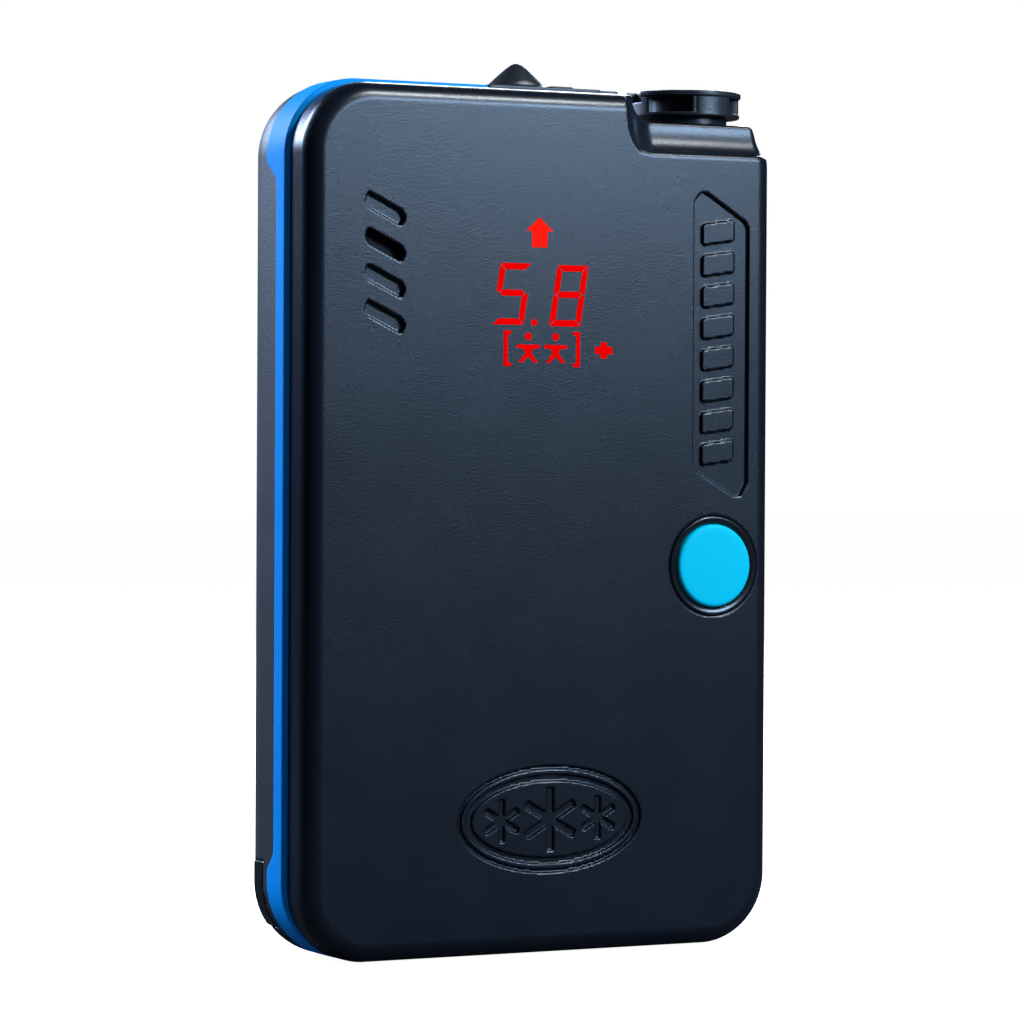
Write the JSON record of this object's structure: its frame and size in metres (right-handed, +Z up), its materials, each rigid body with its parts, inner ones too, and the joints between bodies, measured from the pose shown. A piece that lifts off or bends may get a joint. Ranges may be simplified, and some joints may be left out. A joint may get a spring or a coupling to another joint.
{
  "type": "avalanche transceiver",
  "caption": "Pocket-size avalanche transceiver with a lit front display, push button, rotary power dial with a lock slider, blue bumper band and a hinged battery door.",
  "frame": {"origin": "middle of the bottom, on the plane that the case stands on", "axes": "+X to the right of the display, +Y from the front face to the back, +Z up towards the dial"},
  "size_m": [0.073, 0.028, 0.1217],
  "materials": {
    "cover_plastic": "satin black-blue moulding with a fine even grain",
    "case_plastic": "matt blue-grey moulding",
    "band_elastomer": "bright blue soft-touch elastomer",
    "control_plastic": "satin dark grey moulding",
    "bezel_plastic": "polished black moulding",
    "button_plastic": "bright blue satin moulding",
    "seal_rubber": "black silicone rubber",
    "lit_red": "red light guides, lit from behind",
    "module_black": "black moulded component bodies",
    "acetal": "off-white acetal",
    "board_green": "green solder mask",
    "ferrite_black": "sintered dark grey ferrite",
    "coil_copper": "enamelled copper winding",
    "bright_steel": "nickel-plated steel",
    "turned_brass": "turned brass",
    "capacitor_tan": "tan ceramic",
    "label_film": "plain silver-grey label film",
    "cell_wrap": "plain printed wrap of a dry cell"
  },
  "bodies": {
    "case": {"front_cover": "cover_plastic", "rear_case": "case_plastic", "bumper": "band_elastomer", "button_bezel": "bezel_plastic", "bezel_gasket": "seal_rubber", "tact_switch": "module_black", "dial_bush": "turned_brass", "dial_seal": "seal_rubber", "rotary_switch": "module_black", "detent_spring": "bright_steel", "door_gasket": "seal_rubber", "door_insert": "turned_brass", "door_hinge_pin": "bright_steel", "lanyard_bush": "bright_steel", "corner_feet": "bezel_plastic", "rear_label": "label_film", "display_digits": "lit_red", "display_arrow": "lit_red", "display_icons": "lit_red", "display_module": "module_black", "main_board": "board_green", "processor_chip": "module_black", "radio_shield": "bright_steel", "capacitors": "capacitor_tan", "buzzer": "module_black", "buzzer_membrane": "seal_rubber", "long_ferrite": "ferrite_black", "long_coil": "coil_copper", "cross_ferrite": "ferrite_black", "cross_coil": "coil_copper", "short_ferrite": "ferrite_black", "short_coil": "coil_copper", "antenna_holders": "module_black", "battery_left": "cell_wrap", "battery_middle": "cell_wrap", "battery_right": "cell_wrap", "contact_leaves": "bright_steel", "contact_plates": "bright_steel", "case_screws": "bright_steel", "case_seal": "seal_rubber"},
    "search_button": {"search_button": "button_plastic", "switch_plunger": "acetal"},
    "power_dial": {"power_dial": "control_plastic", "dial_shaft": "bright_steel", "dial_clip": "bright_steel"},
    "lock_slider": {"lock_slider": "control_plastic", "slider_shoe": "acetal"},
    "battery_door": {"battery_door": "case_plastic"},
    "door_screw": {"door_screw": "bright_steel", "screw_retainer": "bright_steel"}
  },
  "joints": [
    {"name": "button_press", "type": "slide", "parent": "case", "child": "search_button", "axis": [0, 1, 0], "range_m": [0, 0.0009], "stiffness_N_per_m": 900},
    {"name": "dial_turn", "type": "hinge", "parent": "case", "child": "power_dial", "pos_m": [0.0272, -0.0024, 0.115], "axis": [0, 0, 1], "range_deg": [0, 90]},
    {"name": "lock_slide", "type": "slide", "parent": "case", "child": "lock_slider", "axis": [1, 0, 0], "range_m": [0, 0.0038]},
    {"name": "door_hinge", "type": "hinge", "parent": "case", "child": "battery_door", "pos_m": [0, 0.0126, 0.0674], "axis": [1, 0, 0], "range_deg": [0, 100]},
    {"name": "screw_turn", "type": "hinge", "parent": "battery_door", "child": "door_screw", "pos_m": [0, 0.0126, 0.0074], "axis": [0, 1, 0], "continuous": true}
  ]
}
